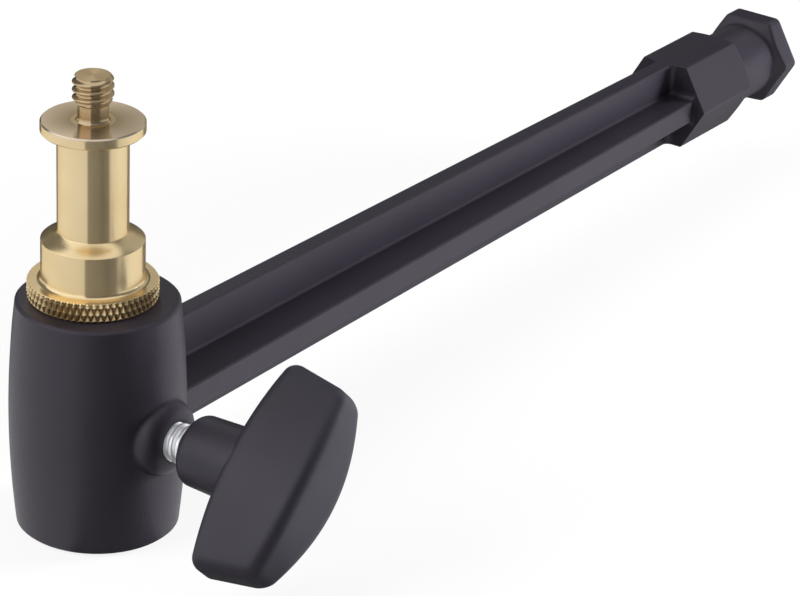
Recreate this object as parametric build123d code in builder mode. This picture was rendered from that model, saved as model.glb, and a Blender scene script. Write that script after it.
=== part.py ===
from build123d import *
import os
from math import cos, radians, sin, sqrt

# Grip extension arm, in millimetres. The origin is on the spigot's axis, at the foot of its upper post.
# +Z runs up the post, +X along the arm to its hexagonal end, and the clamp knob points to -Y.

# Double-ended spigot: each half is a 5/8 in post with a neck that a socket's screw bites on.
post_radius = 8.0
post_length = 26.0
collar_length = 6.7  # full-width foot of the post, above the ring
shoulder_drop = 1.2  # height of the cone from the foot to the neck
neck_radius = 5.5
flange_thickness = 1.8
ring_radius = 10.2  # knurled ring in the middle, which the spigot hangs on
ring_thickness = 3.0
ring_edge = 0.35
flange_edge = 0.2

# Camera screws on the two ends of the spigot.
quarter_inch_radius = 3.175
quarter_inch_length = 7.2
quarter_inch_relief_radius = 2.35
quarter_inch_relief = 2.7
three_eighths_radius = 4.7625
three_eighths_length = 9.2
three_eighths_relief_radius = 3.8
three_eighths_relief = 2.4
screw_chamfer = 0.45

# Barrel that holds the spigot, crowned like a cask.
barrel_height = 38.0
barrel_middle_radius = 13.8
barrel_crown = 1.1
barrel_edge = 0.4
barrel_offset = 1.0  # the barrel is off its bore, for a thicker wall at the clamp screw
bore_clearance = 0.05
bore_chamfer = 0.4
ring_gap = 0.1

# Cross-shaped beam, tapering from the barrel to the hexagonal end.
collar_x = 165.7
web_thickness = 3.3
web_height_at_barrel = 19.0
web_height_at_collar = 16.0
rib_width_at_barrel = 19.0
rib_width_at_collar = 14.0
rib_thickness = 4.2
beam_corner = 0.3  # where the web and the rib meet
beam_edge = 0.25
beam_root_wall = 0.6  # how far outside the bore the beam's root starts
beam_blend = 1.2  # concave rounding where the beam meets the barrel and the collar
round_steps = 3  # flat steps in place of that rounding

# Hexagonal 5/8 in stud with a turned waist for the socket's pin.
hex_across_flats = 16.0
hex_length = 34.3
hex_collar_length = 16.9
waist_length = 13.5
waist_radius = 7.0
waist_wall = 1.3  # how far each sloping wall of the waist runs along the stud
hex_corner = 0.4
rim_corner = 1.3
hex_end_edge = 0.5

# Boss and clamp screw, at the barrel's mid-height.
clamp_to_flange = 4.45  # from the screw's axis down to the lower flange, so that it meets the neck
boss_radius = 6.2
boss_height = 1.8  # beyond the barrel's widest girth
boss_draft = 0.5
boss_round = 2.4
boss_steps = 5  # flat steps in place of its rounding
screw_radius = 3.175
thread_clearance = 0.05
tip_radius = 2.2
tip_thickness = 1.6
tip_stem_radius = 1.2
tip_stem_length = 3.0
tip_clearance = 0.05
tip_to_neck = 0.1
tip_edge = 0.2

# T-shaped knob moulded onto the clamp screw.
hub_gap = 3.7  # between the boss and the hub, where the thread shows
hub_length = 13.0
hub_front_radius = 5.7
hub_back_radius = 6.1
hub_edge = 0.9
screw_in_knob = 14.0
paddle_inner = 9.05  # from the hub's front to the paddle's inner edge
paddle_depth = 14.95
paddle_length = 35.4
paddle_inner_sag = 1.0
paddle_crown_sag = 2.6
paddle_end_taper = 1.8
paddle_middle_thickness = 12.4
paddle_end_thickness = 6.8
paddle_edge = 1.4
paddle_lean = 45.7  # degrees from the arm's direction, as the knob was left

# Sizes that follow from those above.
barrel_top = -(ring_thickness + ring_gap)
barrel_bottom = barrel_top - barrel_height
barrel_middle = (barrel_top + barrel_bottom) / 2
barrel_end_radius = barrel_middle_radius - barrel_crown
bore_radius = post_radius + bore_clearance
arm_z = -(ring_thickness + post_length - flange_thickness) + clamp_to_flange
hex_end_x = collar_x + hex_length
waist_start = collar_x + hex_collar_length
waist_end = waist_start + waist_length
hex_vertex = hex_across_flats / sqrt(3)
beam_root_x = bore_radius + beam_root_wall
crown_radius = (barrel_height**2 / 4 + barrel_crown**2) / (2 * barrel_crown)
web_reach = web_height_at_barrel / 2 + barrel_middle - arm_z
barrel_radius_at_web = barrel_middle_radius - crown_radius + sqrt(crown_radius**2 - web_reach**2)
round_angles = [90 * step / round_steps for step in range(round_steps + 1)]
boss_angles = [90 * step / boss_steps for step in range(boss_steps + 1)]
tip_front = neck_radius + tip_to_neck
screw_nose = tip_front + tip_thickness + tip_clearance
boss_face = barrel_offset + barrel_middle_radius + boss_height
hub_front = boss_face + hub_gap


# The arm casting: barrel, boss, cross-shaped beam and hexagonal stud in one piece.
with BuildPart() as arm_casting:
    # Cask-shaped barrel, turned from its crowned side.
    with BuildSketch(Plane.XZ.offset(barrel_offset)) as barrel_outline:
        with BuildLine():
            Line((0, barrel_bottom), (barrel_end_radius, barrel_bottom))
            ThreePointArc(
                (barrel_end_radius, barrel_bottom),
                (barrel_middle_radius, barrel_middle),
                (barrel_end_radius, barrel_top),
            )
            Line((barrel_end_radius, barrel_top), (0, barrel_top))
            Line((0, barrel_top), (0, barrel_bottom))
        make_face()
        chamfer(barrel_outline.vertices().group_by(Axis.X)[-1], barrel_edge)
    revolve(axis=Axis((0, -barrel_offset, 0), (0, 0, 1)))

    # Domed boss for the clamp screw: a little draft, then a broad rounding up to its face.
    boss_side = [(-bore_radius, arm_z), (-bore_radius, arm_z + boss_radius + boss_draft)]
    for angle in boss_angles:
        back = boss_round * (1 - sin(radians(angle)))
        inward = boss_round * (1 - cos(radians(angle)))
        boss_side.append((-boss_face + back, arm_z + boss_radius - inward))
    boss_side.append((-boss_face, arm_z))
    with BuildSketch(Plane.YZ):
        with BuildLine():
            Polyline(*boss_side, close=True)
        make_face()
    revolve(axis=Axis((0, 0, arm_z), (0, 1, 0)))

    # Beam: a standing web crossed by a flat rib, both narrowing towards the collar. Each station is
    # its place along the arm and how far the web and the rib have spread there on each side.
    stations = [(beam_root_x, beam_blend, 0)]
    for angle in round_angles:
        spread = beam_blend * (1 - sin(radians(angle)))
        stations.append((barrel_radius_at_web + beam_blend * (1 - cos(radians(angle))), spread, 0))
    for angle in reversed(round_angles):
        spread = beam_blend * (1 - sin(radians(angle)))
        stations.append((collar_x - beam_blend * (1 - cos(radians(angle))), spread, spread))
    for x, web_spread, rib_spread in stations:
        along = (x - beam_root_x) / (collar_x - beam_root_x)
        height = web_height_at_barrel + along * (web_height_at_collar - web_height_at_barrel)
        width = rib_width_at_barrel + along * (rib_width_at_collar - rib_width_at_barrel)
        with BuildSketch(Plane.YZ.offset(x)) as beam_section:
            with Locations((0, arm_z)):
                Rectangle(web_thickness + 2 * web_spread, height)
                Rectangle(width, rib_thickness + 2 * rib_spread)
            inside = beam_section.vertices().sort_by_distance((0, arm_z, 0))[:4]
            chamfer(inside, beam_corner)
            outside = beam_section.vertices().sort_by_distance((0, arm_z, 0))[8:]
            chamfer(outside, beam_edge)
    loft(ruled=True)

    # Hexagonal collar and the rim at the stud's end, which has rounder corners.
    with BuildSketch(Plane.YZ.offset(collar_x)) as collar_outline:
        with Locations((0, arm_z)):
            RegularPolygon(hex_across_flats / 2, 6, major_radius=False)
        fillet(collar_outline.vertices(), hex_corner)
    extrude(amount=(waist_start + waist_end) / 2 - collar_x)
    with BuildSketch(Plane.YZ.offset((waist_start + waist_end) / 2)) as rim_outline:
        with Locations((0, arm_z)):
            RegularPolygon(hex_across_flats / 2, 6, major_radius=False)
        fillet(rim_outline.vertices(), rim_corner)
    extrude(amount=hex_end_x - (waist_start + waist_end) / 2)
    end_edges = arm_casting.faces().sort_by(Axis.X)[-1].edges()
    chamfer(end_edges, hex_end_edge)

    # Turned waist, a shallow groove with sloping walls about the stud's axis.
    with BuildSketch(Plane.XZ) as waist_cut:
        with BuildLine():
            Polyline(
                (waist_start, arm_z + hex_vertex),
                (waist_start + waist_wall, arm_z + waist_radius),
                (waist_end - waist_wall, arm_z + waist_radius),
                (waist_end, arm_z + hex_vertex),
                (waist_end, arm_z + hex_vertex + 2),
                (waist_start, arm_z + hex_vertex + 2),
                close=True,
            )
        make_face()
    revolve(axis=Axis((0, 0, arm_z), (1, 0, 0)), mode=Mode.SUBTRACT)

    # Bore for the spigot, eased at both ends, and tapped hole for the clamp screw.
    with BuildSketch(Plane.XZ) as bore_cut:
        with BuildLine():
            Polyline(
                (0, barrel_bottom - 1),
                (bore_radius + bore_chamfer + 1, barrel_bottom - 1),
                (bore_radius, barrel_bottom + bore_chamfer),
                (bore_radius, barrel_top - bore_chamfer),
                (bore_radius + bore_chamfer + 1, barrel_top + 1),
                (0, barrel_top + 1),
                close=True,
            )
        make_face()
    revolve(axis=Axis.Z, mode=Mode.SUBTRACT)
    with BuildSketch(Plane.XZ.offset(boss_face + 1)):
        with Locations((0, arm_z)):
            Circle(screw_radius + thread_clearance)
    extrude(amount=-(boss_face + 1), mode=Mode.SUBTRACT)

arm_casting.part.label = "arm_casting"


# The spigot, one brass turning. Both halves share one outline, from the ring to the flange.
ring_bottom = -ring_thickness
with BuildPart() as spigot:
    with BuildSketch(Plane.XZ):
        with BuildLine():
            Polyline(
                (0, 0),
                (post_radius, 0),
                (post_radius, collar_length),
                (neck_radius, collar_length + shoulder_drop),
                (neck_radius, post_length - flange_thickness),
                (post_radius - flange_edge, post_length - flange_thickness),
                (post_radius, post_length - flange_thickness + flange_edge),
                (post_radius, post_length - flange_edge),
                (post_radius - flange_edge, post_length),
                (0, post_length),
                close=True,
            )
        make_face()
    revolve(axis=Axis.Z)
    mirror(about=Plane.XY.offset(ring_bottom / 2))
    with Locations((0, 0, ring_bottom / 2)):
        ring_disc = Cylinder(ring_radius, ring_thickness)
    ring_rims = spigot.edges().filter_by(
        lambda edge: edge.geom_type == GeomType.CIRCLE and abs(edge.radius - ring_radius) < 0.01
    )
    chamfer(ring_rims, ring_edge)

    # A 1/4 in camera screw on one end and a 3/8 in one on the other, each on a plain undercut root.
    for plane, radius, length, relief_radius, relief in (
        (
            Plane.XY.offset(post_length),
            quarter_inch_radius,
            quarter_inch_length,
            quarter_inch_relief_radius,
            quarter_inch_relief,
        ),
        (
            Plane((0, 0, ring_bottom - post_length), z_dir=(0, 0, -1)),
            three_eighths_radius,
            three_eighths_length,
            three_eighths_relief_radius,
            three_eighths_relief,
        ),
    ):
        with BuildSketch(plane):
            Circle(relief_radius)
        extrude(amount=relief)
        with BuildSketch(plane.offset(relief)):
            Circle(radius)
        extrude(amount=length - relief)
        screw_end = spigot.faces().sort_by_distance(plane.origin + plane.z_dir * length)[0]
        chamfer(screw_end.edges(), screw_chamfer)

spigot.part.label = "spigot"


# Clamp screw: a plain 1/4 in stud, drilled in the nose for its brass tip. It runs along -Y.
with BuildPart() as clamp_screw:
    with BuildSketch(Plane.XZ.offset(screw_nose)):
        with Locations((0, arm_z)):
            Circle(screw_radius)
    extrude(amount=hub_front + screw_in_knob - screw_nose)
    chamfer(clamp_screw.faces().sort_by(Axis.Y)[-1].edges(), screw_chamfer)
    with BuildSketch(Plane.XZ.offset(screw_nose)):
        with Locations((0, arm_z)):
            Circle(tip_stem_radius + tip_clearance)
    extrude(amount=tip_stem_length + tip_clearance, mode=Mode.SUBTRACT)

clamp_screw.part.label = "clamp_screw"


# Brass tip that bears on the spigot's neck, carried on a stem in the screw's nose.
with BuildPart() as pressure_tip:
    with BuildSketch(Plane.XZ.offset(tip_front)):
        with Locations((0, arm_z)):
            Circle(tip_radius)
    extrude(amount=tip_thickness)
    chamfer(pressure_tip.edges().filter_by(GeomType.CIRCLE), tip_edge)
    with BuildSketch(Plane.XZ.offset(tip_front + tip_thickness)):
        with Locations((0, arm_z)):
            Circle(tip_stem_radius)
    extrude(amount=tip_clearance + tip_stem_length)

pressure_tip.part.label = "pressure_tip"


# Knob: a lens-shaped paddle on a round hub. The paddle's own plane leans as the knob was left.
paddle_plane = Plane(
    origin=(0, -hub_front, arm_z),
    x_dir=(cos(radians(paddle_lean)), 0, sin(radians(paddle_lean))),
    z_dir=(-sin(radians(paddle_lean)), 0, cos(radians(paddle_lean))),
)
paddle_outer = paddle_inner + paddle_depth
half_length = paddle_length / 2
outer_half = half_length - paddle_end_taper
with BuildPart() as knob_handle:
    # Outline seen from the broad side: bowed inner edge, tapered ends and a bowed crown.
    with BuildSketch(paddle_plane):
        with BuildLine():
            ThreePointArc(
                (-half_length, -paddle_inner - paddle_inner_sag),
                (0, -paddle_inner),
                (half_length, -paddle_inner - paddle_inner_sag),
            )
            Line(
                (half_length, -paddle_inner - paddle_inner_sag),
                (outer_half, -paddle_outer + paddle_crown_sag),
            )
            ThreePointArc(
                (outer_half, -paddle_outer + paddle_crown_sag),
                (0, -paddle_outer),
                (-outer_half, -paddle_outer + paddle_crown_sag),
            )
            Line(
                (-outer_half, -paddle_outer + paddle_crown_sag),
                (-half_length, -paddle_inner - paddle_inner_sag),
            )
        make_face()
    extrude(amount=paddle_middle_thickness, both=True)

    # Outline seen along the axis: both broad sides bulge towards the middle.
    lens_plane = Plane(
        origin=paddle_plane.origin, x_dir=paddle_plane.x_dir, z_dir=(0, -1, 0)
    )
    with BuildSketch(lens_plane):
        with BuildLine():
            ThreePointArc(
                (-half_length, paddle_end_thickness / 2),
                (0, paddle_middle_thickness / 2),
                (half_length, paddle_end_thickness / 2),
            )
            Line((half_length, paddle_end_thickness / 2), (half_length, -paddle_end_thickness / 2))
            ThreePointArc(
                (half_length, -paddle_end_thickness / 2),
                (0, -paddle_middle_thickness / 2),
                (-half_length, -paddle_end_thickness / 2),
            )
            Line((-half_length, -paddle_end_thickness / 2), (-half_length, paddle_end_thickness / 2))
        make_face()
    extrude(amount=paddle_outer + 1, mode=Mode.INTERSECT)
    chamfer(knob_handle.edges(), paddle_edge)

    # Hub with draft, rounded at the front, run well into the paddle.
    with BuildSketch(Plane.YZ):
        with BuildLine():
            Polyline(
                (-hub_front, arm_z),
                (-hub_front, arm_z + hub_front_radius),
                (-hub_front - hub_length, arm_z + hub_back_radius),
                (-hub_front - hub_length, arm_z),
                close=True,
            )
        make_face()
    revolve(axis=Axis((0, 0, arm_z), (0, 1, 0)))
    hub_rim = knob_handle.faces().sort_by(Axis.Y)[-1].edges()
    chamfer(hub_rim, hub_edge)
    with BuildSketch(Plane.XZ.offset(hub_front)):
        with Locations((0, arm_z)):
            Circle(screw_radius)
    extrude(amount=screw_in_knob, mode=Mode.SUBTRACT)

knob_handle.part.label = "knob_handle"


os.makedirs("parts", exist_ok=True)
export_step(arm_casting.part, "parts/arm_casting.step")
export_step(spigot.part, "parts/spigot.step")
export_step(clamp_screw.part, "parts/clamp_screw.step")
export_step(pressure_tip.part, "parts/pressure_tip.step")
export_step(knob_handle.part, "parts/knob_handle.step")
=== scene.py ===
import math
import bpy
import numpy as np
from mathutils import Matrix, Vector


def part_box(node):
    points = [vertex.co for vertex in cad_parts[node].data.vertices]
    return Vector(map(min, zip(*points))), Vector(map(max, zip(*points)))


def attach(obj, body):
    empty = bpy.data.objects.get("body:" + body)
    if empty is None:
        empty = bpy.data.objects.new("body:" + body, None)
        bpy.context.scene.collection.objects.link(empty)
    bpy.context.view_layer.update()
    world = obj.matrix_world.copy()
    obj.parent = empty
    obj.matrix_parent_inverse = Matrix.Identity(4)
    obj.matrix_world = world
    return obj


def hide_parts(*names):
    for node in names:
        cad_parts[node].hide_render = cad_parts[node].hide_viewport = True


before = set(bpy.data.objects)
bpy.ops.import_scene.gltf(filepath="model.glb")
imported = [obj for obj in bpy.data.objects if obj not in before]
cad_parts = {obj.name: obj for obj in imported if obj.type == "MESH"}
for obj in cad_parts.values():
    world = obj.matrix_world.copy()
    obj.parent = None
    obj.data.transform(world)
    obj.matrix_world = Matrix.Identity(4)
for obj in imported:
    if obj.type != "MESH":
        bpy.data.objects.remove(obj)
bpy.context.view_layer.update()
mm = 0.001

# Camera, fitted to the photograph by the spigot, the barrel's rims and the arm's edges
cameraView = {
    "azimuth": -55.109,  # degrees, 0 looks along +Y
    "elevation": 25.31,
    "roll": 2.287,
    "distance": 0.640719,
    "focalPixels": 3709.868,
    "frameWidth": 800,  # pixels
    "sensorWidth": 36.0,  # mm
    "target": (0.081991, 0.0, -0.033293),
}


def placeCamera(view):
    az, el, roll = (math.radians(view[key]) for key in ("azimuth", "elevation", "roll"))
    back = Vector((math.sin(az) * math.cos(el), -math.cos(az) * math.cos(el), math.sin(el)))
    right = (-back).cross(Vector((0, 0, 1))).normalized()
    up = right.cross(-back)
    turnedRight = right * math.cos(roll) + up * math.sin(roll)
    turnedUp = up * math.cos(roll) - right * math.sin(roll)
    data = bpy.data.cameras.new("photoCamera")
    data.sensor_width = view["sensorWidth"]
    data.lens = view["focalPixels"] / view["frameWidth"] * view["sensorWidth"]
    data.clip_start = 0.01
    camera = bpy.data.objects.new("photoCamera", data)
    bpy.context.scene.collection.objects.link(camera)
    axes = Matrix((turnedRight, turnedUp, back)).transposed().to_4x4()
    camera.matrix_world = Matrix.Translation(Vector(view["target"]) + back * view["distance"]) @ axes
    bpy.context.scene.camera = camera


placeCamera(cameraView)
print("camera placed")


# Small helpers for node trees
def newMaterial(name):
    material = bpy.data.materials.new(name)
    material.use_nodes = True
    tree = material.node_tree
    return material, tree, tree.nodes["Principled BSDF"]


def addNode(tree, kind, settings=None, **inputs):
    node = tree.nodes.new(kind)
    for key, value in (settings or {}).items():
        setattr(node, key, value)
    for key, value in inputs.items():
        socket = node.inputs[key.replace("_", " ")]
        if isinstance(value, bpy.types.NodeSocket):
            tree.links.new(value, socket)
        else:
            socket.default_value = value
    return node


def mathNode(tree, operation, first, second=0.0):
    node = tree.nodes.new("ShaderNodeMath")
    node.operation = operation
    for socket, value in zip(node.inputs, (first, second)):
        if isinstance(value, bpy.types.NodeSocket):
            tree.links.new(value, socket)
        else:
            socket.default_value = value
    return node.outputs[0]


def rampNode(tree, factor, stops):
    node = tree.nodes.new("ShaderNodeValToRGB")
    tree.links.new(factor, node.inputs[0])
    ramp = node.color_ramp
    while len(ramp.elements) < len(stops):
        ramp.elements.new(0.5)
    for element, (place, colour) in zip(ramp.elements, stops):
        element.position = place
        element.color = (*colour, 1) if isinstance(colour, tuple) else (colour, colour, colour, 1)
    return node.outputs[0]


def mixNode(tree, factor, first, second):
    node = tree.nodes.new("ShaderNodeMix")
    node.data_type = "RGBA"
    for socket, value in ((node.inputs[0], factor), (node.inputs[6], first), (node.inputs[7], second)):
        tree.links.new(value, socket)
    return node.outputs[2]


def noiseNode(tree, vector, scale, detail=3.0, roughness=0.55):
    node = addNode(tree, "ShaderNodeTexNoise", Vector=vector, Scale=scale, Detail=detail, Roughness=roughness)
    return node.outputs["Fac"]


def setRoughness(tree, shader, pattern, limits):
    rough = addNode(tree, "ShaderNodeMapRange", Value=pattern, To_Min=limits[0], To_Max=limits[1])
    tree.links.new(rough.outputs[0], shader.inputs["Roughness"])


def setMaterial(piece, material):
    piece.data.materials.clear()
    piece.data.materials.append(material)


# Finishes
blackCoat = {
    "colour": (0.0166, 0.0146, 0.0205),
    "paleColour": (0.0213, 0.0187, 0.0261),
    "roughness": (0.36, 0.48),
    "specular": 0.55,
    "tint": (0.945, 0.875, 1.0, 1),  # the faint violet of its shine
    "grainScale": 1900.0,  # grains a metre, the powder's orange peel
    "grainHeight": 0.000030,
    "grainStrength": 0.85,
    "edgeRadius": 0.0003,  # how far the coat softens the casting's edges
    "castRadius": 0.0010,  # and on the boss and the stud's rim, which are cast rounder
    "edgeSamples": 6,
    "bossFrom": -0.0105,  # the boss lies beyond this Y and short of this X
    "bossTo": 0.02,
    "rimFrom": 0.1855,  # the stud's rim lies beyond this X
    "cloudScale": 45.0,
    "cloudStops": (0.3, 0.75),
    "partingHeight": 0.00003,  # the mould's parting line on the boss
    "partingWidth": 0.00013,
    "partingOut": -0.0122,
    "partingFrom": -0.0068,
    "partingTo": -0.0046,
}


def makeBlackCoat(finish, armHeight):
    material, tree, shader = newMaterial("blackCoat")
    place = addNode(tree, "ShaderNodeTexCoord").outputs["Object"]
    cloud = noiseNode(tree, place, finish["cloudScale"], 4.0)
    grain = noiseNode(tree, place, finish["grainScale"], 2.0, 0.6)
    dark, pale = finish["cloudStops"]
    colour = rampNode(tree, cloud, [(dark, finish["colour"]), (pale, finish["paleColour"])])
    tree.links.new(colour, shader.inputs["Base Color"])
    setRoughness(tree, shader, grain, finish["roughness"])
    shader.inputs["Specular IOR Level"].default_value = finish["specular"]
    shader.inputs["Specular Tint"].default_value = finish["tint"]
    # parting line: a ridge at the boss's mid-height, on the flank away from the beam
    parts = addNode(tree, "ShaderNodeSeparateXYZ", Vector=place).outputs
    offLine = mathNode(tree, "ABSOLUTE", mathNode(tree, "SUBTRACT", parts["Z"], armHeight))
    slope = mathNode(tree, "MINIMUM", mathNode(tree, "DIVIDE", offLine, finish["partingWidth"]), 1.0)
    ridge = mathNode(tree, "SUBTRACT", 1.0, slope)
    flank = mathNode(tree, "MULTIPLY", mathNode(tree, "GREATER_THAN", parts["X"], finish["partingFrom"]),
                     mathNode(tree, "LESS_THAN", parts["X"], finish["partingTo"]))
    onBoss = mathNode(tree, "MULTIPLY", mathNode(tree, "LESS_THAN", parts["Y"], finish["partingOut"]), flank)
    # edges are softened by the wider radius on the boss and the rim, and by the narrow one elsewhere
    bossArea = mathNode(tree, "MULTIPLY", mathNode(tree, "LESS_THAN", parts["Y"], finish["bossFrom"]),
                        mathNode(tree, "LESS_THAN", parts["X"], finish["bossTo"]))
    cast = mathNode(tree, "MAXIMUM", bossArea, mathNode(tree, "GREATER_THAN", parts["X"], finish["rimFrom"]))
    radius = addNode(tree, "ShaderNodeMapRange", Value=cast, To_Min=finish["edgeRadius"], To_Max=finish["castRadius"])
    softened = addNode(tree, "ShaderNodeBevel", {"samples": finish["edgeSamples"]}, Radius=radius.outputs[0])
    grainBump = addNode(tree, "ShaderNodeBump", Height=grain, Strength=finish["grainStrength"],
                        Distance=finish["grainHeight"], Normal=softened.outputs[0])
    lineBump = addNode(tree, "ShaderNodeBump", Height=mathNode(tree, "MULTIPLY", ridge, onBoss), Strength=1.0,
                       Distance=finish["partingHeight"], Normal=grainBump.outputs[0])
    tree.links.new(lineBump.outputs[0], shader.inputs["Normal"])
    return material


turnedBrass = {
    "colour": (0.92, 0.74, 0.445),
    "deepColour": (0.86, 0.68, 0.385),
    "faceReflectionColour": (0.76, 0.64, 0.49),  # the flanges' faces at their edge, greyed: painted reflection
    "faceShadeColour": (0.42, 0.335, 0.235),  # and darker beside the screw: painted shade
    "screwShadeColour": (0.58, 0.45, 0.28),  # the threads, darkened: painted shade
    "faceHeights": (0.0257, -0.0287),  # metres, just under the faces
    "screwRadius": 0.0033,
    "faceShadeTo": 0.007755,  # radius at which the painted shade beside the screw has given way to the face's painted reflection colour
    "grooveColour": (0.42, 0.28, 0.13),  # dirt and tarnish in the knurling
    "grooveRadii": (0.00985, 0.01015),
    "knurlFrom": 0.0097,  # the knurling lies beyond this radius and under this height
    "knurlTop": -0.00015,
    "metallic": 0.92,
    "tint": (1.0, 0.86, 0.62, 1),
    "roughness": (0.16, 0.24),
    "anisotropy": 0.9,
    "anisotropyTurn": 0.25,  # spreads the shine across the turning marks
    "turningScale": 5200.0,  # tool marks a metre
    "turningHeight": 0.000003,
    "turningStrength": 0.5,
    "stainScale": 95.0,
    "stainStops": (0.28, 0.55),
}


def makeTurnedBrass(finish):
    material, tree, shader = newMaterial("turnedBrass")
    place = addNode(tree, "ShaderNodeTexCoord").outputs["Object"]
    parts = addNode(tree, "ShaderNodeSeparateXYZ", Vector=place).outputs
    squares = [mathNode(tree, "POWER", parts[axis], 2.0) for axis in "XY"]
    across = mathNode(tree, "SQRT", mathNode(tree, "ADD", *squares))
    # rings about the axis: the pattern reads only the distance from the axis and the height
    turned = addNode(tree, "ShaderNodeCombineXYZ", X=across, Y=parts["Z"], Z=0.0).outputs[0]
    marks = noiseNode(tree, turned, finish["turningScale"], 2.0, 0.5)
    stain = noiseNode(tree, place, finish["stainScale"], 3.0, 0.5)
    deep, clean = finish["stainStops"]
    plain = rampNode(tree, stain, [(deep, finish["deepColour"]), (clean, finish["colour"])])
    # on the two end faces the colour goes from painted shade on the screw and beside it to the face's painted
    # reflection with the distance out
    endFace = mathNode(tree, "MAXIMUM", mathNode(tree, "GREATER_THAN", parts["Z"], finish["faceHeights"][0]),
                       mathNode(tree, "LESS_THAN", parts["Z"], finish["faceHeights"][1]))
    outward = addNode(tree, "ShaderNodeMapRange", Value=across, From_Min=finish["screwRadius"],
                      From_Max=finish["faceShadeTo"])
    # painted light: shade on the threads and beside them, a greyed painted reflection further out on the faces
    paintedFaceLight = rampNode(tree, outward.outputs[0], [(0.0, finish["screwShadeColour"]), (0.03, finish["faceShadeColour"]),
                                                    (1.0, finish["faceReflectionColour"])])
    # in the knurling the colour goes from brown at the grooves' bottoms to plain brass at the teeth's tips
    bottom, tip = finish["grooveRadii"]
    tips = addNode(tree, "ShaderNodeMapRange", Value=across, From_Min=bottom, From_Max=tip)
    toothed = rampNode(tree, tips.outputs[0], [(0.0, finish["grooveColour"]), (1.0, finish["colour"])])
    knurled = mathNode(tree, "MULTIPLY", mathNode(tree, "GREATER_THAN", across, finish["knurlFrom"]),
                       mathNode(tree, "LESS_THAN", parts["Z"], finish["knurlTop"]))
    body = mixNode(tree, knurled, plain, toothed)
    tree.links.new(mixNode(tree, endFace, body, paintedFaceLight), shader.inputs["Base Color"])
    shader.inputs["Metallic"].default_value = finish["metallic"]
    shader.inputs["Specular Tint"].default_value = finish["tint"]
    shader.inputs["Anisotropic"].default_value = finish["anisotropy"]
    shader.inputs["Anisotropic Rotation"].default_value = finish["anisotropyTurn"]
    around = addNode(tree, "ShaderNodeTangent", {"direction_type": "RADIAL", "axis": "Z"})
    tree.links.new(around.outputs[0], shader.inputs["Tangent"])
    setRoughness(tree, shader, marks, finish["roughness"])
    bump = addNode(tree, "ShaderNodeBump", Height=marks, Strength=finish["turningStrength"],
                   Distance=finish["turningHeight"])
    tree.links.new(bump.outputs[0], shader.inputs["Normal"])
    return material


zincSteel = {
    "colour": (0.93, 0.94, 0.97),
    "dullColour": (0.8184, 0.8272, 0.8536),
    "metallic": 0.72,
    "roughness": (0.14, 0.30),
    "fleckScale": 700.0,
    "fleckStops": (0.3, 0.6),
}


def makeZincSteel(finish):
    material, tree, shader = newMaterial("zincSteel")
    place = addNode(tree, "ShaderNodeTexCoord").outputs["Object"]
    fleck = noiseNode(tree, place, finish["fleckScale"], 3.0, 0.6)
    setRoughness(tree, shader, fleck, finish["roughness"])
    dull, bright = finish["fleckStops"]
    colour = rampNode(tree, fleck, [(dull, finish["dullColour"]), (bright, finish["colour"])])
    tree.links.new(colour, shader.inputs["Base Color"])
    shader.inputs["Metallic"].default_value = finish["metallic"]
    return material


knobPlastic = {
    "colour": (0.0186, 0.0168, 0.0234),
    "paleColour": (0.0255, 0.0233, 0.0322),
    "roughness": (0.38, 0.50),
    "tint": (0.94, 0.885, 1.0, 1),
    "cloudScale": 90.0,
    "cloudStops": (0.3, 0.75),
    "grainScale": 2600.0,  # fine spark-eroded texture
    "grainHeight": 0.000012,
    "grainStrength": 0.4,
}


def makeKnobPlastic(finish):
    material, tree, shader = newMaterial("knobPlastic")
    place = addNode(tree, "ShaderNodeTexCoord").outputs["Object"]
    cloud = noiseNode(tree, place, finish["cloudScale"], 4.0)
    grain = noiseNode(tree, place, finish["grainScale"], 2.0, 0.5)
    dark, pale = finish["cloudStops"]
    colour = rampNode(tree, cloud, [(dark, finish["colour"]), (pale, finish["paleColour"])])
    tree.links.new(colour, shader.inputs["Base Color"])
    setRoughness(tree, shader, grain, finish["roughness"])
    shader.inputs["Specular Tint"].default_value = finish["tint"]
    bump = addNode(tree, "ShaderNodeBump", Height=grain, Strength=finish["grainStrength"],
                   Distance=finish["grainHeight"])
    tree.links.new(bump.outputs[0], shader.inputs["Normal"])
    return material


lowScrew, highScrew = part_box("clamp_screw")
armZ = (lowScrew.z + highScrew.z) / 2 / mm  # height of the arm's and the clamp screw's axis
coatMaterial = makeBlackCoat(blackCoat, armZ * mm)
brassMaterial = makeTurnedBrass(turnedBrass)
zincMaterial = makeZincSteel(zincSteel)
plasticMaterial = makeKnobPlastic(knobPlastic)
print("finishes made")


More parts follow.
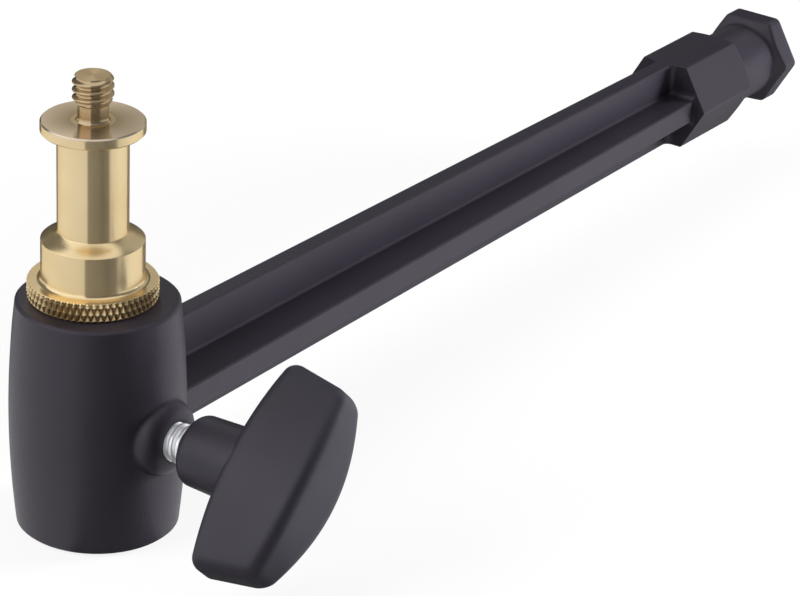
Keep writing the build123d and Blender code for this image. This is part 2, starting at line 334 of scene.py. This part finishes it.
# A closed skin over a grid of points: rows run from one pole to the other, columns go once round.
# Each row's point joins its neighbour and the next row's in a quad, and a fan closes each pole.
def skinFromGrid(name, grid, smoothAngle=35.0):
    rows, columns, _ = grid.shape
    inner = grid[1:-1].reshape(-1, 3)
    points = np.vstack([grid[0, :1], inner, grid[-1, :1]])
    here = 1 + np.arange(columns)
    nextOne = 1 + (np.arange(columns) + 1) % columns
    belt = (np.arange(rows - 3) * columns)[:, None]
    quads = np.stack([belt + here, belt + nextOne, belt + nextOne + columns, belt + here + columns], -1)
    quads = quads.reshape(-1, 4)
    lastRow = (rows - 3) * columns
    top = len(points) - 1
    firstFan = np.stack([np.zeros(columns, int), nextOne, here], -1)
    lastFan = np.stack([np.full(columns, top), lastRow + here, lastRow + nextOne], -1)
    loops = np.concatenate([quads.ravel(), firstFan.ravel(), lastFan.ravel()])
    sizes = np.concatenate([np.full(len(quads), 4), np.full(2 * columns, 3)])
    mesh = bpy.data.meshes.new(name)
    mesh.vertices.add(len(points))
    mesh.vertices.foreach_set("co", points.astype(np.float32).ravel())
    mesh.loops.add(len(loops))
    mesh.loops.foreach_set("vertex_index", loops.astype(np.int32))
    mesh.polygons.add(len(sizes))
    starts = np.concatenate([[0], np.cumsum(sizes)[:-1]])
    mesh.polygons.foreach_set("loop_start", starts.astype(np.int32))
    mesh.polygons.foreach_set("use_smooth", np.ones(len(sizes), bool))
    mesh.update(calc_edges=True)
    mesh.validate()
    mesh.set_sharp_from_angle(angle=math.radians(smoothAngle))
    piece = bpy.data.objects.new(name, mesh)
    bpy.context.scene.collection.objects.link(piece)
    return piece


def fineProfile(corners, step):
    # straight runs between corners, cut so that no piece is longer than step, with each corner kept
    corners = np.asarray(corners, float)
    out = [corners[:1]]
    for start, end in zip(corners[:-1], corners[1:]):
        count = max(1, int(np.ceil(np.hypot(*(end - start)) / step)))
        out.append(start + (end - start) * (np.arange(1, count + 1) / count)[:, None])
    return np.vstack(out)


def turnedGrid(profile, columns, centre=(0, 0), along="Z", rough=None):
    # point = axis point at height s + radius times (cosine, sine) of the angle; rough(angle, s, radius)
    # gives the radius where it isn't the profile's own
    angle = 2 * np.pi * np.arange(columns) / columns
    radius = np.repeat(profile[:, :1], columns, 1)
    height = np.repeat(profile[:, 1:], columns, 1)
    if rough is not None:
        radius = rough(angle[None, :], height, radius)
    first, second = radius * np.cos(angle), radius * np.sin(angle)
    if along == "Z":
        return np.stack([centre[0] + first, centre[1] + second, height], -1) * mm
    return np.stack([centre[0] + first, -height, centre[1] + second], -1) * mm


threadForm = {
    "rounding": 0.35,  # how much of the flank's fall is a smooth step, the rest a straight one
    "lead": 0.9,  # mm in which the thread starts and ends
    "leadDepth": 1.05,  # its depth there, as a share of the thread's
}


def threadRadius(angle, height, radius, screw, start, stop):
    # radius = major less depth times the flank's fall, where the fall is 0 on the crest, 1 in the root
    # and nearly straight between, at height over pitch less angle over a turn; both ends taper
    rounding = threadForm["rounding"]
    phase = np.mod(height / screw["pitch"] - angle / (2 * np.pi), 1.0)
    away = np.abs(phase - 0.5) * 2
    fall = np.clip((away - screw["crest"]) / (1 - screw["crest"] - screw["root"]), 0, 1)
    fall = fall * fall * (3 - 2 * fall) * rounding + fall * (1 - rounding)
    cut = screw["major"] - screw["depth"] * fall
    ends = np.minimum(height - start, stop - height)
    deepest = screw["depth"] * threadForm["leadDepth"]
    taper = screw["major"] - deepest + np.clip(ends / threadForm["lead"], 0, 1.2) * deepest
    inside = (height > start) & (height < stop)
    return np.where(inside, np.minimum(np.minimum(cut, taper), radius), radius)


# Spigot: one brass turning, drawn as its plain body, its two screws and the knurled ring
spigotSizes = {
    "postRadius": 8.0,
    "postLength": 26.0,
    "footLength": 6.7,
    "shoulderDrop": 1.2,
    "neckRadius": 5.5,
    "flangeThickness": 1.8,
    "flangeEdge": 0.22,
    "footFillet": 0.75,
    "footEdge": 0.15,
    "shoulderFoot": (0.12, 0.15),  # the small bevel between the shoulder and the neck
    "neckHead": 0.2,  # and the one under the flange
    "coreInset": 0.5,  # the body inside the knurling is this much narrower
    "ringRadius": 10.2,
    "ringThickness": 3.0,
    "ringEdge": 0.35,
    "columns": 160,
}
cameraScrew = {  # 1/4 in, 20 turns to the inch
    "major": 3.175,
    "depth": 0.62,
    "pitch": 1.27,
    "crest": 0.14,  # shares of the half pitch
    "root": 0.22,
    "from": 2.6,
    "length": 7.2,
    "relief": 2.35,  # radius of the plain shank under the thread
    "shankFillet": (0.35, 0.4),
    "endBevel": 0.45,
}
lowerScrew = dict(cameraScrew, major=4.7625, depth=0.85, pitch=1.5875, length=9.2, relief=3.8)  # 3/8 in, 16 turns
lowerScrew["from"] = 2.3
knurl = {
    "teeth": 61,
    "rows": 2.5,
    "depth": 0.40,
    "plainEdge": 0.12,  # the ring's faces stay plain up to this far inside its bevel
    "step": 0.085,  # mm between the rows of points across the teeth
    "columns": 976,
}


def spigotHalf(s):
    # radius and height of the upper half, from the ring's top face to the flange's top face: a quarter
    # arc at the post's foot, then straight runs
    neckTop = s["postLength"] - s["flangeThickness"]
    r, n, f, e = s["postRadius"], s["neckRadius"], s["footLength"], s["flangeEdge"]
    shoulder = f + s["shoulderDrop"]
    turn = np.linspace(0, np.pi / 2, 7)
    fillet = [(r + s["footFillet"] * (1 - np.sin(t)), s["footFillet"] * (1 - np.cos(t))) for t in turn]
    return fillet + [
        (r, f - s["footEdge"]),
        (r - s["footEdge"], f),
        (n + s["shoulderFoot"][0], shoulder),
        (n, shoulder + s["shoulderFoot"][1]),
        (n, neckTop - s["neckHead"]),
        (n + s["neckHead"], neckTop),
        (r - e, neckTop),
        (r, neckTop + e),
        (r, s["postLength"] - e),
        (r - e, s["postLength"]),
    ]


def makeSpigotBody(s):
    # the upper half's outline, the same mirrored about the ring's middle, and a plain core between
    upper = spigotHalf(s)
    middle = -s["ringThickness"] / 2
    lower = [(r, 2 * middle - z) for r, z in reversed(upper)]
    radius = s["ringRadius"] - s["coreInset"]
    core = [(radius, -s["ringThickness"] + 0.05), (radius, -0.05)]
    lowPole, highPole = (0.0, 2 * middle - s["postLength"]), (0.0, s["postLength"])
    profile = fineProfile([lowPole, *lower, *core, *upper, highPole], 1.5)
    return skinFromGrid("spigotBody", turnedGrid(profile, s["columns"]))


def makeKnurledRing(s, k):
    top, bottom = 0.0, -s["ringThickness"]
    outer = s["ringRadius"]
    inner = s["postRadius"] - 1.0
    edge = s["ringEdge"]
    flat = outer - edge - k["plainEdge"]
    corners = [(0, bottom), (inner, bottom), (flat, bottom), (outer - edge, bottom), (outer, bottom + edge),
               (outer, top - edge), (outer - edge, top), (flat, top), (inner, top), (0, top)]
    coarse = fineProfile(corners[:4], 3.0)
    fine = fineProfile(corners[3:7], k["step"])
    profile = np.vstack([coarse, fine[1:], fineProfile(corners[6:], 3.0)[1:]])

    def knurled(angle, height, radius):
        # radius less depth times the groove, where two families of grooves cross as diamonds:
        # each is deepest where teeth * angle plus or minus rows * height is whole
        turn = k["teeth"] * angle / (2 * np.pi)
        climb = k["rows"] * (height - bottom) / s["ringThickness"]
        one = np.abs(2 * np.mod(turn + climb / 2, 1.0) - 1)
        two = np.abs(2 * np.mod(turn - climb / 2, 1.0) - 1)
        groove = np.clip(np.maximum(one, two), 0, 1)
        cut = outer - k["depth"] * groove
        onRim = radius > outer - edge * 0.98
        return np.where(onRim, np.minimum(radius, cut), radius)

    return skinFromGrid("knurledRing", turnedGrid(profile, k["columns"], rough=knurled), 32.0)


def makeCameraScrew(name, screw, base, upwards):
    # turned outline: plain shank with a bevelled foot, then the thread out to its bevelled end. Height
    # is counted away from the flange, then turned to +Z or -Z.
    major, relief, length, bevel = (screw[key] for key in ("major", "relief", "length", "endBevel"))
    wide, tall = screw["shankFillet"]
    threadFrom = screw["from"] + wide
    shank = fineProfile([(0, -tall), (relief + wide, -tall), (relief + wide, 0.0), (relief, tall),
                         (relief, screw["from"]), (major, threadFrom)], 0.5)
    thread = fineProfile([(major, threadFrom), (major, length - bevel), (major - bevel, length), (0, length)],
                         screw["pitch"] / 16)
    profile = np.vstack([shank, thread[1:]])

    def cut(angle, height, radius):
        return threadRadius(angle, height, radius, screw, screw["from"] + 0.1, length + 0.3)

    grid = turnedGrid(profile, 112, rough=cut) / mm
    if upwards:
        grid[..., 2] += base
    else:
        grid[..., 2] = base - grid[..., 2]
        grid[..., 1] *= -1  # half a turn about X, so that the thread stays right-handed
    return skinFromGrid(name, grid * mm, 50.0)


spigotPieces = [
    makeSpigotBody(spigotSizes),
    makeKnurledRing(spigotSizes, knurl),
    makeCameraScrew("cameraScrew", cameraScrew, spigotSizes["postLength"], True),
    makeCameraScrew("lowerScrew", lowerScrew, -spigotSizes["ringThickness"] - spigotSizes["postLength"], False),
]
for piece in spigotPieces:
    setMaterial(piece, brassMaterial)
    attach(piece, "spigot_body")
    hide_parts("spigot")
print("spigot turned")


# Clamp screw: a 1/4 in stud along -Y, from its drilled nose to its end in the knob
clampStud = {
    "major": 3.175,
    "depth": 0.5,
    "pitch": 1.27,
    "crest": 0.42,  # shares of the half pitch: rolled thread with broad crests
    "root": 0.04,
    "nose": -highScrew.y / mm,  # distances along -Y from the spigot's axis
    "end": -lowScrew.y / mm,
    "noseBevel": 0.5,
    "endBevel": 0.45,
    "holeRadius": 1.25,
    "holeDepth": 3.05,
}


def makeClampStud(s):
    # turned outline: the tip's hole, the nose's flat ring and bevel, then the thread to the end's bevel
    nose, end, major, bored = s["nose"], s["end"], s["major"], s["holeRadius"]
    holeEnd = nose + s["holeDepth"]
    hole = fineProfile([(0, holeEnd), (bored, holeEnd), (bored, nose), (major - s["noseBevel"], nose)], 1.0)
    thread = fineProfile([(major - s["noseBevel"], nose), (major, nose + s["noseBevel"]), (major, end - s["endBevel"]),
                          (major - s["endBevel"], end), (0, end)], s["pitch"] / 14)
    profile = np.vstack([hole, thread[1:]])

    def cut(angle, height, radius):
        threaded = threadRadius(angle, height, radius, s, nose - 0.3, end + 0.3)
        return np.where(radius > bored + 0.3, threaded, radius)

    return skinFromGrid("clampStud", turnedGrid(profile, 96, centre=(0, armZ), along="Y", rough=cut), 50.0)


stud = makeClampStud(clampStud)
setMaterial(stud, zincMaterial)
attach(stud, "knob")
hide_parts("clamp_screw")
print("clamp stud threaded")


# Knob: a round hub and a lens-shaped paddle, with every edge rounded. Distances run out from the
# hub's front face along -Y; the paddle leans by the angle at which the knob was left.
knob = {
    "hubFront": -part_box("knob_handle")[1].y / mm,
    "hubFrontRadius": 5.7,
    "hubBackRadius": 6.1,
    "hubRound": 1.5,
    "hubDraftLength": 13.0,
    "hubEnd": 16.0,
    "socketRadius": 3.2,
    "socketDepth": 13.9,
    "socketMouth": 0.3,
    "paddleInner": 9.05,
    "paddleDepth": 14.95,
    "paddleLength": 35.4,
    "innerSag": 1.0,
    "crownSag": 2.6,
    "endTaper": 1.8,
    "middleThickness": 12.4,
    "endThickness": 6.8,
    "edgeRound": 2.0,
    "lean": 45.7,  # degrees
}


def makeKnobHub(k):
    # turned outline: socket bottom, socket wall, rounded front rim (a quarter circle), drafted side
    turn = np.linspace(0, np.pi / 2, 9)
    edge, back, mouth, bored = k["hubRound"], k["hubBackRadius"], k["socketMouth"], k["socketRadius"]
    rim = np.stack([k["hubFrontRadius"] - edge * (1 - np.sin(turn)), edge * (1 - np.cos(turn))], -1)
    socket = [(0, k["socketDepth"]), (bored, k["socketDepth"]), (bored, mouth), (bored + mouth, 0)]
    side = [(back, k["hubDraftLength"]), (back, k["hubEnd"]), (0, k["hubEnd"] + 0.5)]
    profile = np.vstack([fineProfile(socket, 2.0), rim, fineProfile([rim[-1]] + side, 2.0)[1:]])
    profile[:, 1] += k["hubFront"]
    return skinFromGrid("knobHub", turnedGrid(profile, 96, centre=(0, armZ), along="Y"), 40.0)


def makeKnobPaddle(k):
    # station t runs along the paddle. Its section is a rounded rectangle between the inner edge and
    # the crown, both bowed as t squared; near the ends it draws in as a quarter circle does.
    half, edge = k["paddleLength"] / 2, k["edgeRound"]
    ease = np.sin(np.linspace(0, np.pi / 2, 9))
    straight = np.linspace(-half + edge, half - edge, 41)[1:-1]
    t = np.concatenate([-half + edge * (1 - ease[::-1]), straight, half - edge * (1 - ease)])
    bow = (t / half) ** 2
    inner = k["paddleInner"] + k["innerSag"] * bow
    outer = k["paddleInner"] + k["paddleDepth"] - k["crownSag"] * bow
    thick = k["middleThickness"] / 2 - (k["middleThickness"] - k["endThickness"]) / 2 * bow
    past = np.clip(np.abs(t) - (half - edge), 0, edge)
    draw = edge - np.sqrt(edge**2 - past**2)
    corner = np.maximum(edge - draw, 0.02)
    # one turn round the section: a quarter arc at each corner and straight runs between them
    arc = np.linspace(0, np.pi / 2, 9)
    signs = np.array([(1, 1), (-1, 1), (-1, -1), (1, -1)])
    starts = np.arange(4) * np.pi / 2
    corners, arcs = [], []
    for index in range(4):
        corners += [np.tile(signs[index], (9, 1)), np.linspace(signs[index], signs[(index + 1) % 4], 10)[1:-1]]
        angles = starts[index] + arc
        around = np.stack([np.cos(angles), np.sin(angles)], -1)
        arcs += [around, np.repeat(around[-1:], 8, 0)]
    corners, arcs = np.vstack(corners), np.vstack(arcs)
    middle, reach = ((inner + outer) / 2)[:, None], ((outer - inner) / 2 - draw - corner)[:, None]
    across = middle + corners[:, 0] * reach + arcs[:, 0] * corner[:, None]
    up = corners[:, 1] * (thick - draw - corner)[:, None] + arcs[:, 1] * corner[:, None]
    # flat ends: rings drawn in towards the section's middle, down to a pole
    shrink = np.array([0.0, 0.35, 0.7])[:, None]
    ends = [(middle[i] + (across[i] - middle[i]) * shrink, up[i] * shrink) for i in (0, -1)]
    across = np.vstack([ends[0][0], across, ends[1][0][::-1]])
    up = np.vstack([ends[0][1], up, ends[1][1][::-1]])
    along = np.concatenate([[t[0]] * 3, t, [t[-1]] * 3])[:, None]
    # the ends taper: the station moves in by a share that grows from the inner edge to the crown
    low, high = k["paddleInner"] + k["innerSag"], k["paddleInner"] + k["paddleDepth"] - k["crownSag"]
    share = np.clip((across - low) / (high - low), -0.1, 1.1)
    along = along * (1 - k["endTaper"] / half * share)
    lean = math.radians(k["lean"])
    x = along * math.cos(lean) - up * math.sin(lean)
    z = along * math.sin(lean) + up * math.cos(lean) + armZ
    return skinFromGrid("knobPaddle", np.stack([x, -k["hubFront"] - across, z], -1) * mm, 40.0)


for piece in (makeKnobHub(knob), makeKnobPaddle(knob)):
    setMaterial(piece, plasticMaterial)
    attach(piece, "knob")
    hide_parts("knob_handle")
print("knob moulded")


# The casting and the pressure tip keep their solids
setMaterial(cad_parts["arm_casting"], coatMaterial)
setMaterial(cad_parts["pressure_tip"], brassMaterial)


# Floor and light. What gloss and metal see round the object is two rows of soft white screens with
# dark gaps between, fixed in the room: degrees from the first camera's side to its right, and the
# brightness there. The floor mirrors the low row's.
studio = {
    "floorDrop": 0.0004,  # just under the barrel
    "floorSize": 6.0,
    "floorGlow": 0.86,
    "floorColour": 0.90,
    "worldFill": 0.25,
    "lowScreens": [(-180, 0.0), (-145, 0.05), (-138, 0.75), (-100, 0.82), (-60, 0.76), (-13, 0.70), (-11, 0.22),
                   (28, 0.16), (34, 0.12), (54, 0.17), (62, 0.66), (98, 0.80), (135, 0.72), (145, 0.20),
                   (176, 0.05), (180, 0.0)],
    "highScreens": [(-180, 0.05), (-177, 0.1), (-175, 0.84), (-166, 0.7), (-160, 0.10), (-115, 0.12), (-108, 1.1),
                    (-14, 1.1), (-10, 0.14), (48, 0.10), (118, 0.14), (124, 0.34), (160, 0.34), (168, 0.05),
                    (180, 0.0)],
    "highFrom": (0.10, 0.25),  # sines of the heights between which the upper row takes over
    "ceiling": 0.90,
    "ceilingFrom": (0.80, 0.88),  # sines between which the ceiling's screen takes over
    "lampAim": (0.08, 0, -0.02),
    "lamps": {
        "leftSoftbox": {"place": (-0.57, 0.33, 0.46), "size": (0.5, 0.6), "power": 6.0},
        "rightSoftbox": {"place": (0.80, -0.60, 0.12), "size": (0.35, 0.3), "power": 25.5},
        "topSoftbox": {"place": (0.25, 0.25, 0.9), "size": (0.7, 0.7), "power": 1.5},
    },
}


def screenNode(tree, place, screens):
    # brightness read from the angle between a place and the camera's side, both seen from above
    az = math.radians(cameraView["azimuth"])
    parts = addNode(tree, "ShaderNodeSeparateXYZ", Vector=place).outputs

    def along(operation, xShare, yShare):
        return mathNode(tree, operation, mathNode(tree, "MULTIPLY", parts["X"], xShare),
                        mathNode(tree, "MULTIPLY", parts["Y"], yShare))

    ahead = along("SUBTRACT", math.sin(az), math.cos(az))
    right = along("ADD", math.cos(az), math.sin(az))
    turn = mathNode(tree, "DIVIDE", mathNode(tree, "ARCTAN2", right, ahead), 2 * math.pi)
    stops = [(degrees / 360 + 0.5, value / 2) for degrees, value in screens]
    # the ramp holds half the brightness, because it stops at 1
    return mathNode(tree, "MULTIPLY", rampNode(tree, mathNode(tree, "ADD", turn, 0.5), stops), 2.0)


def makeFloor(s):
    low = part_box("arm_casting")[0].z - s["floorDrop"]
    half = s["floorSize"] / 2
    mesh = bpy.data.meshes.new("floor")
    corners = [(-half, -half, low), (half, -half, low), (half, half, low), (-half, half, low)]
    mesh.from_pydata(corners, [], [(0, 1, 2, 3)])
    floor = bpy.data.objects.new("floor", mesh)
    bpy.context.scene.collection.objects.link(floor)
    material, tree, shader = newMaterial("paleFloor")
    shader.inputs["Base Color"].default_value = (s["floorColour"],) * 3 + (1,)
    shader.inputs["Roughness"].default_value = 0.9
    shader.inputs["Specular IOR Level"].default_value = 0.1
    rays = addNode(tree, "ShaderNodeLightPath").outputs
    screens = screenNode(tree, addNode(tree, "ShaderNodeTexCoord").outputs["Object"], s["lowScreens"])
    white = addNode(tree, "ShaderNodeEmission", Color=(1, 1, 1, 1), Strength=1.0)
    mirrored = addNode(tree, "ShaderNodeEmission", Color=(1, 1, 1, 1), Strength=screens)
    viewed = mathNode(tree, "MAXIMUM", rays["Is Camera Ray"], rays["Is Transmission Ray"])
    seen = mathNode(tree, "MULTIPLY", viewed, s["floorGlow"])
    plain = addNode(tree, "ShaderNodeMixShader")
    whole = addNode(tree, "ShaderNodeMixShader")
    tree.links.new(seen, plain.inputs[0])
    tree.links.new(shader.outputs[0], plain.inputs[1])
    tree.links.new(white.outputs[0], plain.inputs[2])
    tree.links.new(rays["Is Glossy Ray"], whole.inputs[0])
    tree.links.new(plain.outputs[0], whole.inputs[1])
    tree.links.new(mirrored.outputs[0], whole.inputs[2])
    tree.links.new(whole.outputs[0], tree.nodes["Material Output"].inputs[0])
    setMaterial(floor, material)


def makeWorld(s):
    world = bpy.data.worlds.new("studioWorld")
    bpy.context.scene.world = world
    world.use_nodes = True
    tree = world.node_tree
    background = tree.nodes["Background"]
    rays = addNode(tree, "ShaderNodeLightPath").outputs
    place = addNode(tree, "ShaderNodeTexCoord").outputs["Generated"]
    height = addNode(tree, "ShaderNodeSeparateXYZ", Vector=place).outputs["Z"]
    lowRow = screenNode(tree, place, s["lowScreens"])
    highRow = screenNode(tree, place, s["highScreens"])
    rowShare, ceilingShare = (
        addNode(tree, "ShaderNodeMapRange", Value=height, From_Min=s[key][0], From_Max=s[key][1]).outputs[0]
        for key in ("highFrom", "ceilingFrom")
    )
    screens = addNode(tree, "ShaderNodeMapRange", Value=rowShare, To_Min=lowRow, To_Max=highRow).outputs[0]
    mirrored = addNode(tree, "ShaderNodeMapRange", Value=ceilingShare, To_Min=screens, To_Max=s["ceiling"])
    seen = mathNode(tree, "MAXIMUM", rays["Is Camera Ray"], rays["Is Transmission Ray"])
    plain = addNode(tree, "ShaderNodeMapRange", Value=seen, To_Min=s["worldFill"], To_Max=1.0)
    strength = addNode(tree, "ShaderNodeMapRange", Value=rays["Is Glossy Ray"], To_Min=plain.outputs[0],
                       To_Max=mirrored.outputs[0])
    background.inputs["Color"].default_value = (1, 1, 1, 1)
    tree.links.new(strength.outputs[0], background.inputs["Strength"])


def addLamps(s):
    aim = Vector(s["lampAim"])
    for name, lamp in s["lamps"].items():
        data = bpy.data.lights.new(name, "AREA")
        data.shape = "RECTANGLE"
        data.size, data.size_y = lamp["size"]
        data.energy = lamp["power"]
        light = bpy.data.objects.new(name, data)
        light.location = lamp["place"]
        light.rotation_euler = (Vector(lamp["place"]) - aim).to_track_quat("Z", "Y").to_euler()
        light.visible_glossy = False  # gloss shows the screens instead
        bpy.context.scene.collection.objects.link(light)


makeFloor(studio)
makeWorld(studio)
addLamps(studio)
bpy.context.scene.view_settings.view_transform = "Standard"
print("studio lit")
